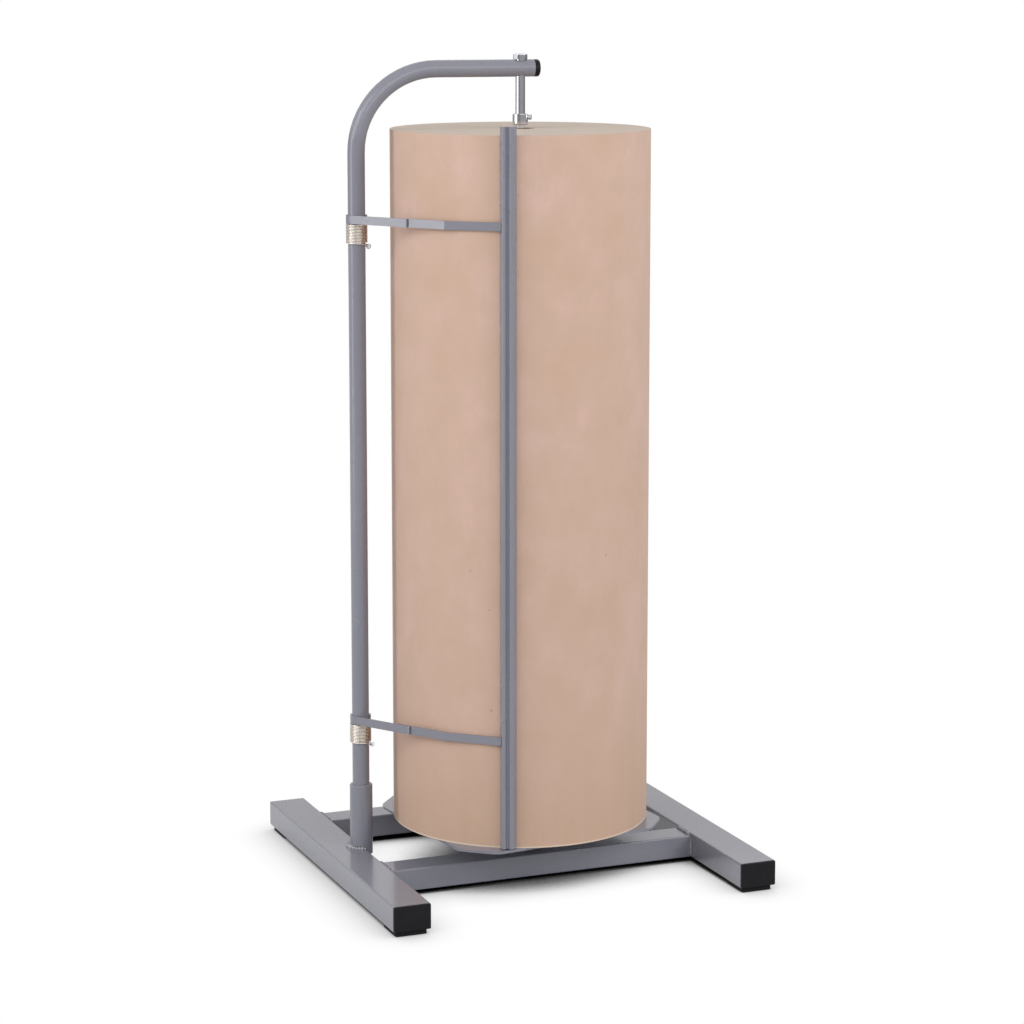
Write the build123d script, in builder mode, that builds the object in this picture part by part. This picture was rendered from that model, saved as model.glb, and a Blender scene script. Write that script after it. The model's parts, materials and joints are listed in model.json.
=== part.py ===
from build123d import *
import math
import os

os.makedirs("parts", exist_ok=True)

# Sizes in millimetres. x runs to the right, minus y to the front, z up. The floor is z = 0.

# Base frame
rail_width = 60.0
rail_height = 40.0
rail_wall = 2.0
rail_overall = 616.0
rail_clear = 54.5
tube_inner_corner = 0.5
plug_flange = 3.0
plug_inset = 0.6
plug_wall = 2.5
plug_inner_corner = 1.0
plug_fit = 0.05
plug_screw_gap = 9.5
foot_height = 8.0
foot_width = 50.0
foot_length = 56.0
foot_inset = 5.0
foot_corner = 3.0
foot_recess = 14.0
foot_screw_diameter = 5.0
foot_screw_head = 10.0
foot_screw_head_height = 2.5
foot_screw_sink = 1.5
foot_screw_end = 3.0
foot_screw_slot_length = 6.0
foot_screw_slot_width = 1.2
foot_screw_slot_depth = 1.5
cross_width = 50.0
cross_drop = 4.0
front_cross_set = 209.0
rear_cross_set = 110.0
beam_width = 80.0

# Paper roll and turntable
axis_x = 0.0
axis_set = 74.0
roll_radius = 204.0
roll_height = 1100.0
core_bore = 34.0
core_wall = 6.0
plate_gap = 15.0
plate_clip = 46.0
plate_round = 28.0
plate_thickness = 4.0
plate_turn = 6.0
plate_screw_diameter = 5.0
plate_screw_head = 10.0
plate_screw_sink = 0.2
plate_screw_key = 3.0
plate_screw_key_depth = 1.8
spigot_gap = 0.3
spigot_height = 19.0
spigot_chamfer = 2.0
hub_neck = 12.0
hub_flange = 120.0
hub_flange_thickness = 6.0

# Pivot and thrust bearing
pin_diameter = 20.0
pin_fit = 0.05
pin_over = 6.0
pin_chamfer = 1.5
pedestal_thickness = 6.0
pedestal_inset = 4.0
pedestal_corner = 6.0
boss_height = 10.0
boss_margin = 3.0
race_width = 10.0
race_thickness = 3.0
ball_diameter = 5.0
ball_sink = 0.5
ball_count = 12
ball_gap = 0.1
cage_width = 6.4
cage_thickness = 1.6
groove_depth = 1.0
ring_thickness = 1.5
ring_over = 3.5
ring_lift = 0.2
ring_slot = 6.0
bolt_diameter = 6.0
bolt_head = 10.0
bolt_head_height = 4.0
bolt_end = 6.0
bolt_front_gap = 4.0
bolt_end_inset = 10.0
bolt_side_inset = 6.0

# Post, socket and overhead arm
post_diameter = 26.9
post_wall = 2.0
post_inset = 1.0
post_set = 33.0
bend_radius = 127.0
arm_over_roll = 93.4
arm_overhang = 21.4
arm_plug_length = 9.0
arm_plug_depth = 8.0
arm_plug_wall = 3.0
arm_plug_round = 4.0
socket_wall = 4.6
socket_fit = 0.05
socket_height = 103.0
socket_chamfer = 1.6
socket_cope = 10.0
lock_screw_rise = 51.0
lock_screw_angle = 166.0
lock_screw_diameter = 6.0
lock_screw_sink = 0.2
lock_screw_key = 3.0
lock_screw_key_depth = 2.5

# Spindle
rod_diameter = 15.0
rod_fit = 0.1
rod_tip_drop = 44.0
rod_tip_chamfer = 2.0
rod_thread = 10.0
collar_wall = 4.5
collar_height = 17.0
collar_gap = 5.5
collar_chamfer = 0.8
head_margin = 3.0
head_height = 8.0
head_gap = 0.3
head_cover = 2.0
head_round = 1.0
head_corner = 0.6
thumb_screw_angle = -30.0
thumb_screw_diameter = 5.0
thumb_screw_drop = 5.0
thumb_head = 8.0
thumb_head_length = 5.0
thumb_head_gap = 0.5
thumb_grip = 0.8
thumb_grip_out = 0.3
thumb_grip_count = 10

# Swing arms and tear bar
eye_fit = 0.08
strip_thickness = 3.0
strip_height = 13.0
upper_arm_drop = 136.2
lower_arm_rise = 171.2
eye_free_angle = -35.0
arm_roll_gap = 6.7
tip_bend_past = 9.7
tip_straight = 70.0
lap_length = 25.0
bar_run = 111.9
bar_width = 25.2
bar_depth = 14.0
bar_sheet = 2.0
bar_gap = 0.4
bar_rise = 2.0
bar_over = 13.5
ridge_outer = 8.4
ridge_inner = 3.8
ridge_round = 4.0
ridge_inner_round = 2.6
valley_half = 1.2
valley_depth = 4.0
valley_round = 1.5

# Torsion springs and their anchor screws
spring_wire = 3.0
spring_post_gap = 0.5
spring_half_turns = 11
coil_gap = 0.64
anchor_angle = -22.0
anchor_thread = 4.0
anchor_thread_end = 1.5
anchor_seat_depth = 0.3
anchor_seat_margin = 0.8
anchor_width = 4.0
anchor_height = 4.6
anchor_ring = 7.8
anchor_ring_bore = 4.2
anchor_ring_set = 2.7

# Heights and places that follow from the sizes
rail_bottom = foot_height
rail_top = foot_height + rail_height
rail_middle = foot_height + rail_height / 2
rail_length = rail_overall - 2 * plug_flange
rail_corner = rail_wall + tube_inner_corner
inner_face = roll_radius + rail_clear
rail_x = inner_face + rail_width / 2
rail_hollow_width = rail_width - 2 * rail_wall
rail_hollow_height = rail_height - 2 * rail_wall
front_cross_y = front_cross_set - rail_overall / 2
rear_cross_y = rail_overall / 2 - rear_cross_set
cross_height = rail_height - cross_drop
cross_hollow_width = cross_width - 2 * rail_wall
cross_hollow_height = cross_height - 2 * rail_wall
beam_hollow_width = beam_width - 2 * rail_wall
cross_top = rail_bottom + cross_height
cross_middle = rail_bottom + cross_height / 2
beam_front = front_cross_y + cross_width / 2
beam_rear = rear_cross_y - cross_width / 2
beam_middle = (beam_front + beam_rear) / 2
foot_y = rail_overall / 2 - foot_inset - foot_length / 2
foot_places = [(side * rail_x, end * foot_y) for side in (-1, 1) for end in (-1, 1)]
foot_recess_depth = foot_screw_sink + foot_screw_head_height
plug_depth = rail_length / 2 - foot_y - foot_screw_diameter / 2 - plug_screw_gap

# The stack under the roll: beam, pedestal, bearing, hub, plate
axis_y = front_cross_y + axis_set
pedestal_top = cross_top + pedestal_thickness
bearing_bottom = pedestal_top + boss_height
bearing_height = 2 * race_thickness + ball_diameter - 2 * ball_sink
bearing_top = bearing_bottom + bearing_height
bearing_middle = bearing_bottom + bearing_height / 2
race_outer = pin_diameter + 2 * race_width
ball_ring_radius = (pin_diameter + race_width) / 2
hub_boss = race_outer + 2 * boss_margin
plate_bottom = bearing_top + hub_neck
roll_bottom = plate_bottom + plate_thickness
roll_top = roll_bottom + roll_height
core_outer = core_bore + 2 * core_wall
spigot_top = roll_bottom + spigot_height
pin_top = spigot_top + pin_over
pedestal_width = beam_width - 2 * pedestal_inset
bolt_x = pedestal_width / 2 - bolt_side_inset
bolt_y = axis_y - beam_front - bolt_front_gap
bolt_places = [(axis_x + side * bolt_x, axis_y + end * bolt_y) for side in (-1, 1) for end in (-1, 1)]
pedestal_length = 2 * (bolt_y + bolt_end_inset)
screw_circle = (hub_boss + hub_flange) / 4
screw_turns = [math.radians(plate_turn + 45 + 90 * quarter) for quarter in range(4)]
screw_steps = [(screw_circle * math.cos(turn), screw_circle * math.sin(turn)) for turn in screw_turns]
screw_places = [(axis_x + step_x, axis_y + step_y) for step_x, step_y in screw_steps]
screw_length = plate_thickness + hub_flange_thickness - plate_screw_sink

# The post beside the roll and its arm over the roll's axis
post_x = -inner_face - post_inset
post_y = axis_y + post_set
post_radius = post_diameter / 2
post_reach = math.hypot(axis_x - post_x, axis_y - post_y)
socket_outer = post_diameter + 2 * socket_wall
lock_screw_height = rail_top + lock_screw_rise
arm_height = roll_top + arm_over_roll
arm_reach = post_reach + arm_overhang
arm_angle = math.degrees(math.atan2(axis_y - post_y, axis_x - post_x))
arm_along = Vector(math.cos(math.radians(arm_angle)), math.sin(math.radians(arm_angle)), 0)
arm_top = arm_height + post_radius
post_foot = Vector(post_x, post_y, rail_top)
bend_start = Vector(post_x, post_y, arm_height - bend_radius)
bend_corner = Vector(post_x, post_y, arm_height)
bend_inset = bend_radius * (1 - math.sqrt(0.5))
bend_middle = bend_corner + arm_along * bend_inset - Vector(0, 0, bend_inset)
bend_end = bend_corner + arm_along * bend_radius
arm_end = bend_corner + arm_along * arm_reach
arm_plane = Plane(origin=arm_end, x_dir=(0, 0, 1), z_dir=arm_along)
collar_outer = rod_diameter + 2 * collar_wall
collar_bottom = roll_top + collar_gap
collar_top = collar_bottom + collar_height
rod_tip = collar_bottom - rod_tip_drop
head_flats = rod_diameter + 2 * head_margin
head_bottom = arm_top + head_gap
thumb_level = collar_top - thumb_screw_drop

# The swing: its strips pass the roll's skin by the arm's gap and then bend to the bar
eye_inner = post_radius + eye_fit
eye_outer = eye_inner + strip_thickness
upper_arm_height = roll_top - upper_arm_drop
lower_arm_height = roll_bottom + lower_arm_rise
strip_path = roll_radius + arm_roll_gap + strip_thickness
pass_angle = math.acos((strip_path - eye_inner) / post_reach)
eye_leave_angle = 180 + arm_angle + math.degrees(pass_angle)
tip_bend_run = post_reach * math.sin(pass_angle) + tip_bend_past
eye_strip_run = tip_bend_run - tip_straight
bar_angle = eye_leave_angle + math.degrees(bar_run / strip_path)
bar_bottom = roll_bottom + bar_rise
bar_top = roll_top + bar_over
bar_meet = (bar_depth + strip_thickness) / 2
bar_half = bar_width / 2
bar_lean = (bar_half - ridge_outer) / bar_depth
bar_valley = bar_depth - valley_depth


# Point on a circle round the post's axis
def round_post(radius, angle, height=0.0):
    turn = math.radians(angle)
    return Vector(post_x + radius * math.cos(turn), post_y + radius * math.sin(turn), height)


# Plane square to a line that leaves the post's axis sideways; its own y runs up
def post_plane(radius, angle, height):
    turn = math.radians(angle)
    return Plane(
        origin=round_post(radius, angle, height),
        x_dir=(-math.sin(turn), math.cos(turn), 0),
        z_dir=(math.cos(turn), math.sin(turn), 0),
    )


# Plane square to a line that leaves the roll's axis sideways; its own y runs up
def axis_plane(radius, angle, height):
    turn = math.radians(angle)
    return Plane(
        origin=(axis_x + radius * math.cos(turn), axis_y + radius * math.sin(turn), height),
        x_dir=(-math.sin(turn), math.cos(turn), 0),
        z_dir=(math.cos(turn), math.sin(turn), 0),
    )


# Straight run of the eye strips, and the side of it that faces the roll
leave_heading = math.radians(eye_leave_angle + 90)
strip_along = Vector(math.cos(leave_heading), math.sin(leave_heading), 0)
strip_side = Vector(-math.sin(leave_heading), math.cos(leave_heading), 0)
leave_inner = round_post(eye_inner, eye_leave_angle)
leave_outer = round_post(eye_outer, eye_leave_angle)

# The tear bar's own axes on plan: along the roll's skin and straight out from it
bar_turn = math.radians(bar_angle)
bar_out = Vector(math.cos(bar_turn), math.sin(bar_turn), 0)
bar_along = Vector(-math.sin(bar_turn), math.cos(bar_turn), 0)
bar_foot = Vector(axis_x, axis_y, 0) + bar_out * (roll_radius + bar_gap)
bar_plane = Plane(origin=bar_foot + Vector(0, 0, bar_bottom), x_dir=bar_along * -1, z_dir=(0, 0, 1))

# Arm tips on plan: lapped on the eye strip, bent once, and cut along the bar's side
tip_start = leave_inner + strip_along * (eye_strip_run - lap_length)
tip_bend_outer = leave_inner + strip_along * tip_bend_run
tip_meet = bar_foot - bar_along * (bar_half - bar_lean * bar_meet) + bar_out * bar_meet
tip_heading = (tip_meet - tip_bend_outer).normalized()
tip_side = Vector(-tip_heading.Y, tip_heading.X, 0)
half_bend = (strip_side + tip_side).normalized()
tip_bend_inner = tip_bend_outer + half_bend * (strip_thickness / half_bend.dot(strip_side))
bar_square = bar_along - bar_out * bar_lean
tip_slant = tip_heading * (strip_thickness * bar_square.dot(tip_side) / bar_square.dot(tip_heading))
tip_meet_inner = tip_meet + tip_side * strip_thickness - tip_slant
tip_outline = [
    tip_start,
    tip_bend_outer,
    tip_meet,
    tip_meet_inner,
    tip_bend_inner,
    tip_start + strip_side * strip_thickness,
]

# Levels of the springs and their anchors, and where the coils start so that the stubs stand over the anchors
spring_mean_radius = post_radius + spring_post_gap + spring_wire / 2
spring_bend = spring_wire
spring_drop = 2 * (spring_wire + spring_bend) + spring_half_turns / 2 * (spring_wire + coil_gap)
anchor_seat = post_radius - anchor_seat_depth
anchor_seat_radius = math.hypot(anchor_width, anchor_height) / 2 + anchor_seat_margin
anchor_length = spring_mean_radius + spring_wire / 2 - anchor_seat
anchor_ring_place = spring_mean_radius + anchor_ring_set
coil_start_angle = anchor_angle - math.degrees(spring_bend / spring_mean_radius)
upper_eye_bottom = upper_arm_height - strip_height / 2
lower_eye_bottom = lower_arm_height - strip_height / 2
upper_anchor_top = upper_eye_bottom - spring_drop
lower_anchor_top = lower_eye_bottom - spring_drop


# Upright plane of the anchor rings, square to the post's skin
def ring_plane(height):
    turn = math.radians(anchor_angle)
    return Plane(
        origin=round_post(anchor_ring_place, anchor_angle, height),
        x_dir=(math.cos(turn), math.sin(turn), 0),
        z_dir=(-math.sin(turn), math.cos(turn), 0),
    )


# Two arcs that join smoothly and carry a line from one point and heading to another
def smooth_pair(start, start_heading, finish, finish_heading):
    chord = finish - start
    square = 2 * start_heading.dot(finish_heading) - 2
    linear = -2 * chord.dot(start_heading + finish_heading)
    constant = chord.dot(chord)
    reach = (-linear - math.sqrt(linear * linear - 4 * square * constant)) / (2 * square)
    first = start + start_heading * reach
    second = finish - finish_heading * reach
    middle = (first + second) * 0.5
    TangentArc(start, middle, tangent=start_heading)
    TangentArc(middle, finish, tangent=(second - first).normalized())


# Point and heading of the coil after a number of half turns, wound clockwise going up
def coil_place(half_turn, bottom, rise):
    turn = math.radians(coil_start_angle - 180 * half_turn)
    slope = math.atan2(rise, math.pi * spring_mean_radius)
    point = round_post(spring_mean_radius, math.degrees(turn), bottom + rise * half_turn)
    around = Vector(math.sin(turn), -math.cos(turn), 0)
    return point, around * math.cos(slope) + Vector(0, 0, math.sin(slope)), around, slope


# Centre line of one spring: a stub up from its anchor, the coil, and a stub up to the eye
def spring_line(anchor_top, eye_bottom):
    level_run = spring_wire + spring_bend
    rise = (eye_bottom - anchor_top - 2 * level_run) / spring_half_turns
    for attempt in range(4):
        slope = math.atan2(rise, math.pi * spring_mean_radius)
        level_run = spring_wire + spring_bend * math.cos(slope)
        rise = (eye_bottom - anchor_top - 2 * level_run) / spring_half_turns
    bottom = anchor_top + level_run
    bend_side = spring_bend * (1 - math.sin(slope))
    bend_up = Vector(0, 0, spring_bend * math.cos(slope))
    point, heading, around, slope = coil_place(0, bottom, rise)
    stub_top = point - around * bend_side - bend_up
    Line(stub_top - Vector(0, 0, spring_wire), stub_top)
    TangentArc(stub_top, point, tangent=(0, 0, 1))
    for half_turn in range(spring_half_turns):
        point, heading, around, slope = coil_place(half_turn, bottom, rise)
        following, next_heading, around, slope = coil_place(half_turn + 1, bottom, rise)
        smooth_pair(point, heading, following, next_heading)
    point, heading, around, slope = coil_place(spring_half_turns, bottom, rise)
    stub_foot = point + around * bend_side + bend_up
    TangentArc(point, stub_foot, tangent=heading)
    Line(stub_foot, stub_foot + Vector(0, 0, spring_wire))


# Base rails
with BuildPart() as left_rail:
    with BuildSketch(Plane.XZ):
        with Locations((-rail_x, rail_middle)):
            RectangleRounded(rail_width, rail_height, rail_corner)
            RectangleRounded(rail_hollow_width, rail_hollow_height, tube_inner_corner, mode=Mode.SUBTRACT)
    extrude(amount=rail_length / 2, both=True)
    with BuildSketch(Plane.XY.offset(rail_bottom)):
        with Locations((-rail_x, -foot_y), (-rail_x, foot_y)):
            Circle(foot_screw_diameter / 2)
    extrude(amount=rail_wall, mode=Mode.SUBTRACT)
left_rail.part.label = "left_rail"
export_step(left_rail.part, "parts/left_rail.step")

with BuildPart() as right_rail:
    with BuildSketch(Plane.XZ):
        with Locations((rail_x, rail_middle)):
            RectangleRounded(rail_width, rail_height, rail_corner)
            RectangleRounded(rail_hollow_width, rail_hollow_height, tube_inner_corner, mode=Mode.SUBTRACT)
    extrude(amount=rail_length / 2, both=True)
    with BuildSketch(Plane.XY.offset(rail_bottom)):
        with Locations((rail_x, -foot_y), (rail_x, foot_y)):
            Circle(foot_screw_diameter / 2)
    extrude(amount=rail_wall, mode=Mode.SUBTRACT)
right_rail.part.label = "right_rail"
export_step(right_rail.part, "parts/right_rail.step")

# Cross rails between the base rails' inner faces
with BuildPart() as front_cross_rail:
    with BuildSketch(Plane.YZ):
        with Locations((front_cross_y, cross_middle)):
            RectangleRounded(cross_width, cross_height, rail_corner)
            RectangleRounded(cross_hollow_width, cross_hollow_height, tube_inner_corner, mode=Mode.SUBTRACT)
    extrude(amount=inner_face, both=True)
front_cross_rail.part.label = "front_cross_rail"
export_step(front_cross_rail.part, "parts/front_cross_rail.step")

with BuildPart() as rear_cross_rail:
    with BuildSketch(Plane.YZ):
        with Locations((rear_cross_y, cross_middle)):
            RectangleRounded(cross_width, cross_height, rail_corner)
            RectangleRounded(cross_hollow_width, cross_hollow_height, tube_inner_corner, mode=Mode.SUBTRACT)
    extrude(amount=inner_face, both=True)
rear_cross_rail.part.label = "rear_cross_rail"
export_step(rear_cross_rail.part, "parts/rear_cross_rail.step")

# Beam that carries the pivot, between the cross rails
with BuildPart() as centre_beam:
    with BuildSketch(Plane.XZ.offset(-beam_middle)):
        with Locations((axis_x, cross_middle)):
            RectangleRounded(beam_width, cross_height, rail_corner)
            RectangleRounded(beam_hollow_width, cross_hollow_height, tube_inner_corner, mode=Mode.SUBTRACT)
    extrude(amount=(beam_rear - beam_front) / 2, both=True)
    with BuildSketch(Plane.XY.offset(cross_top)):
        with Locations(*bolt_places):
            Circle(bolt_diameter / 2)
    extrude(amount=-rail_wall, mode=Mode.SUBTRACT)
centre_beam.part.label = "centre_beam"
export_step(centre_beam.part, "parts/centre_beam.step")

# End plugs of the rails: a cover plate and a hollow insert
insert_width = rail_hollow_width - 2 * plug_fit
insert_height = rail_hollow_height - 2 * plug_fit
bore_width = insert_width - 2 * plug_wall
bore_height = insert_height - 2 * plug_wall
cover_width = rail_width - 2 * plug_inset
cover_height = rail_height - 2 * plug_inset
with BuildPart() as rail_end_plugs:
    for end in (-1, 1):
        with BuildSketch(Plane.XZ.offset(-end * rail_length / 2)):
            with Locations((-rail_x, rail_middle), (rail_x, rail_middle)):
                RectangleRounded(cover_width, cover_height, rail_corner - plug_inset)
        extrude(amount=-end * plug_flange)
        with BuildSketch(Plane.XZ.offset(-end * rail_length / 2)):
            with Locations((-rail_x, rail_middle), (rail_x, rail_middle)):
                RectangleRounded(insert_width, insert_height, tube_inner_corner)
                RectangleRounded(bore_width, bore_height, plug_inner_corner, mode=Mode.SUBTRACT)
        extrude(amount=end * plug_depth)
rail_end_plugs.part.label = "rail_end_plugs"
export_step(rail_end_plugs.part, "parts/rail_end_plugs.step")

# Rubber feet with a sunk hole for the screw
with BuildPart() as feet:
    with BuildSketch():
        with Locations(*foot_places):
            RectangleRounded(foot_width, foot_length, foot_corner)
    extrude(amount=foot_height)
    with BuildSketch():
        with Locations(*foot_places):
            Circle(foot_recess / 2)
    extrude(amount=foot_recess_depth, mode=Mode.SUBTRACT)
    with BuildSketch():
        with Locations(*foot_places):
            Circle(foot_screw_diameter / 2)
    extrude(amount=foot_height, mode=Mode.SUBTRACT)
feet.part.label = "feet"
export_step(feet.part, "parts/feet.step")

with BuildPart() as foot_screws:
    with BuildSketch(Plane.XY.offset(foot_screw_sink)):
        with Locations(*foot_places):
            Circle(foot_screw_head / 2)
    extrude(amount=foot_screw_head_height)
    with BuildSketch(Plane.XY.offset(foot_recess_depth)):
        with Locations(*foot_places):
            Circle(foot_screw_diameter / 2)
    extrude(amount=rail_bottom + rail_wall + foot_screw_end - foot_recess_depth)
    with BuildSketch(Plane.XY.offset(foot_screw_sink)):
        with Locations(*foot_places):
            Rectangle(foot_screw_slot_length, foot_screw_slot_width)
            Rectangle(foot_screw_slot_width, foot_screw_slot_length)
    extrude(amount=foot_screw_slot_depth, mode=Mode.SUBTRACT)
foot_screws.part.label = "foot_screws"
export_step(foot_screws.part, "parts/foot_screws.step")

# Socket welded over the left rail's inner top corner
with BuildPart() as post_socket:
    with BuildSketch(Plane.XY.offset(rail_top - socket_cope)):
        with Locations((post_x, post_y)):
            Circle(socket_outer / 2)
            Circle(post_radius + socket_fit, mode=Mode.SUBTRACT)
    extrude(amount=socket_height + socket_cope)
    chamfer(post_socket.edges().group_by(Axis.Z)[-1].sort_by(SortBy.LENGTH)[-1], length=socket_chamfer)
    with BuildSketch(Plane.XY.offset(rail_top - socket_cope)):
        with Locations((-inner_face - rail_width / 2, post_y)):
            Rectangle(rail_width, 2 * socket_outer)
    extrude(amount=socket_cope, mode=Mode.SUBTRACT)
    with BuildSketch(post_plane(post_radius, lock_screw_angle, lock_screw_height)):
        Circle(lock_screw_diameter / 2)
    extrude(amount=socket_outer / 2, mode=Mode.SUBTRACT)
post_socket.part.label = "post_socket"
export_step(post_socket.part, "parts/post_socket.step")

with BuildPart() as socket_lock_screw:
    with BuildSketch(post_plane(post_radius, lock_screw_angle, lock_screw_height)):
        Circle(lock_screw_diameter / 2)
    extrude(amount=socket_wall - lock_screw_sink)
    with BuildSketch(post_plane(socket_outer / 2 - lock_screw_sink, lock_screw_angle, lock_screw_height)):
        RegularPolygon(lock_screw_key / 2, 6, major_radius=False)
    extrude(amount=-lock_screw_key_depth, mode=Mode.SUBTRACT)
socket_lock_screw.part.label = "socket_lock_screw"
export_step(socket_lock_screw.part, "parts/socket_lock_screw.step")

# Post bent over the roll, with the spindle's bore and flat seats for the anchor screws
with BuildPart() as post:
    with BuildLine() as post_line:
        Line(post_foot, bend_start)
        ThreePointArc(bend_start, bend_middle, bend_end)
        Line(bend_end, arm_end)
    with BuildSketch(Plane.XY.offset(rail_top)):
        with Locations((post_x, post_y)):
            Circle(post_radius)
            Circle(post_radius - post_wall, mode=Mode.SUBTRACT)
    sweep(path=post_line.wire())
    with BuildSketch(Plane.XY.offset(arm_height - post_diameter)):
        with Locations((axis_x, axis_y)):
            Circle(rod_diameter / 2 + rod_fit)
    extrude(amount=2 * post_diameter, mode=Mode.SUBTRACT)
    for level in (upper_anchor_top, lower_anchor_top):
        with BuildSketch(post_plane(anchor_seat, anchor_angle, level - anchor_height / 2)):
            Circle(anchor_seat_radius)
        extrude(amount=post_wall, mode=Mode.SUBTRACT)
        with BuildSketch(post_plane(post_radius, anchor_angle, level - anchor_height / 2)):
            Circle(anchor_thread / 2)
        extrude(amount=-2 * post_wall, mode=Mode.SUBTRACT)
post.part.label = "post"
export_step(post.part, "parts/post.step")

with BuildPart() as post_end_plug:
    with BuildSketch(arm_plane):
        Circle(post_radius)
    extrude(amount=arm_plug_length)
    fillet(post_end_plug.edges().sort_by(Axis(arm_end, arm_along))[-1], radius=arm_plug_round)
    with BuildSketch(arm_plane):
        Circle(post_radius - post_wall - plug_fit)
        Circle(post_radius - post_wall - arm_plug_wall, mode=Mode.SUBTRACT)
    extrude(amount=-arm_plug_depth)
post_end_plug.part.label = "post_end_plug"
export_step(post_end_plug.part, "parts/post_end_plug.step")

# Pivot pedestal bolted on the beam, with its pin grooved for the retaining ring
groove_radius = pin_diameter / 2 - groove_depth
groove_bottom = spigot_top + ring_lift
with BuildPart() as pivot_pedestal:
    with BuildSketch(Plane.XY.offset(cross_top)):
        with Locations((axis_x, axis_y)):
            RectangleRounded(pedestal_width, pedestal_length, pedestal_corner)
    extrude(amount=pedestal_thickness)
    with BuildSketch(Plane.XY.offset(pedestal_top)):
        with Locations((axis_x, axis_y)):
            Circle(hub_boss / 2)
    extrude(amount=boss_height)
    with BuildSketch(Plane.XY.offset(bearing_bottom)):
        with Locations((axis_x, axis_y)):
            Circle(pin_diameter / 2)
    extrude(amount=pin_top - bearing_bottom)
    chamfer(pivot_pedestal.edges().group_by(Axis.Z)[-1], length=pin_chamfer)
    with BuildSketch(Plane.XY.offset(groove_bottom)):
        with Locations((axis_x, axis_y)):
            Circle(pin_diameter / 2 + groove_depth)
            Circle(groove_radius, mode=Mode.SUBTRACT)
    extrude(amount=ring_thickness, mode=Mode.SUBTRACT)
    with BuildSketch(Plane.XY.offset(cross_top)):
        with Locations(*bolt_places):
            Circle(bolt_diameter / 2)
    extrude(amount=pedestal_thickness, mode=Mode.SUBTRACT)
pivot_pedestal.part.label = "pivot_pedestal"
export_step(pivot_pedestal.part, "parts/pivot_pedestal.step")

with BuildPart() as pedestal_bolts:
    with BuildSketch(Plane.XY.offset(pedestal_top)):
        with Locations(*bolt_places):
            RegularPolygon(bolt_head / 2, 6, major_radius=False)
    extrude(amount=bolt_head_height)
    with BuildSketch(Plane.XY.offset(cross_top - rail_wall - bolt_end)):
        with Locations(*bolt_places):
            Circle(bolt_diameter / 2)
    extrude(amount=pedestal_thickness + rail_wall + bolt_end)
pedestal_bolts.part.label = "pedestal_bolts"
export_step(pedestal_bolts.part, "parts/pedestal_bolts.step")

with BuildPart() as pivot_retaining_ring:
    with BuildSketch(Plane.XY.offset(groove_bottom)):
        with Locations((axis_x, axis_y)):
            Circle(pin_diameter / 2 + ring_over)
            Circle(groove_radius, mode=Mode.SUBTRACT)
        with Locations((axis_x + pin_diameter / 2, axis_y)):
            Rectangle(pin_diameter / 2, ring_slot, mode=Mode.SUBTRACT)
    extrude(amount=ring_thickness)
pivot_retaining_ring.part.label = "pivot_retaining_ring"
export_step(pivot_retaining_ring.part, "parts/pivot_retaining_ring.step")

# Thrust bearing: the balls lie in the lower race's groove
ball_centre = bearing_middle - ball_gap
groove_minor = ball_diameter / 2 + ball_gap
race_plane = Plane(origin=(axis_x, axis_y, bearing_middle), x_dir=(1, 0, 0), z_dir=(0, -1, 0))
with BuildPart() as bearing_lower_race:
    with BuildSketch(Plane.XY.offset(bearing_bottom)):
        with Locations((axis_x, axis_y)):
            Circle(race_outer / 2)
            Circle(pin_diameter / 2 + pin_fit, mode=Mode.SUBTRACT)
    extrude(amount=race_thickness)
    with BuildSketch(race_plane):
        with Locations((ball_ring_radius, 0)):
            Circle(groove_minor)
    revolve(axis=Axis((axis_x, axis_y, 0), (0, 0, 1)), mode=Mode.SUBTRACT)
bearing_lower_race.part.label = "bearing_lower_race"
export_step(bearing_lower_race.part, "parts/bearing_lower_race.step")

with BuildPart() as bearing_upper_race:
    with BuildSketch(Plane.XY.offset(bearing_top)):
        with Locations((axis_x, axis_y)):
            Circle(race_outer / 2)
            Circle(pin_diameter / 2 + pin_fit, mode=Mode.SUBTRACT)
    extrude(amount=-race_thickness)
    with BuildSketch(race_plane):
        with Locations((ball_ring_radius, 0)):
            Circle(groove_minor)
    revolve(axis=Axis((axis_x, axis_y, 0), (0, 0, 1)), mode=Mode.SUBTRACT)
bearing_upper_race.part.label = "bearing_upper_race"
export_step(bearing_upper_race.part, "parts/bearing_upper_race.step")

with BuildPart() as bearing_ball_ring:
    with BuildSketch(Plane.XY.offset(ball_centre - cage_thickness / 2)):
        with Locations((axis_x, axis_y)):
            Circle(ball_ring_radius + cage_width / 2)
            Circle(ball_ring_radius - cage_width / 2, mode=Mode.SUBTRACT)
    extrude(amount=cage_thickness)
    with Locations(Plane(origin=(axis_x, axis_y, ball_centre))):
        with PolarLocations(ball_ring_radius, ball_count):
            Sphere(ball_diameter / 2)
bearing_ball_ring.part.label = "bearing_ball_ring"
export_step(bearing_ball_ring.part, "parts/bearing_ball_ring.step")

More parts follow.
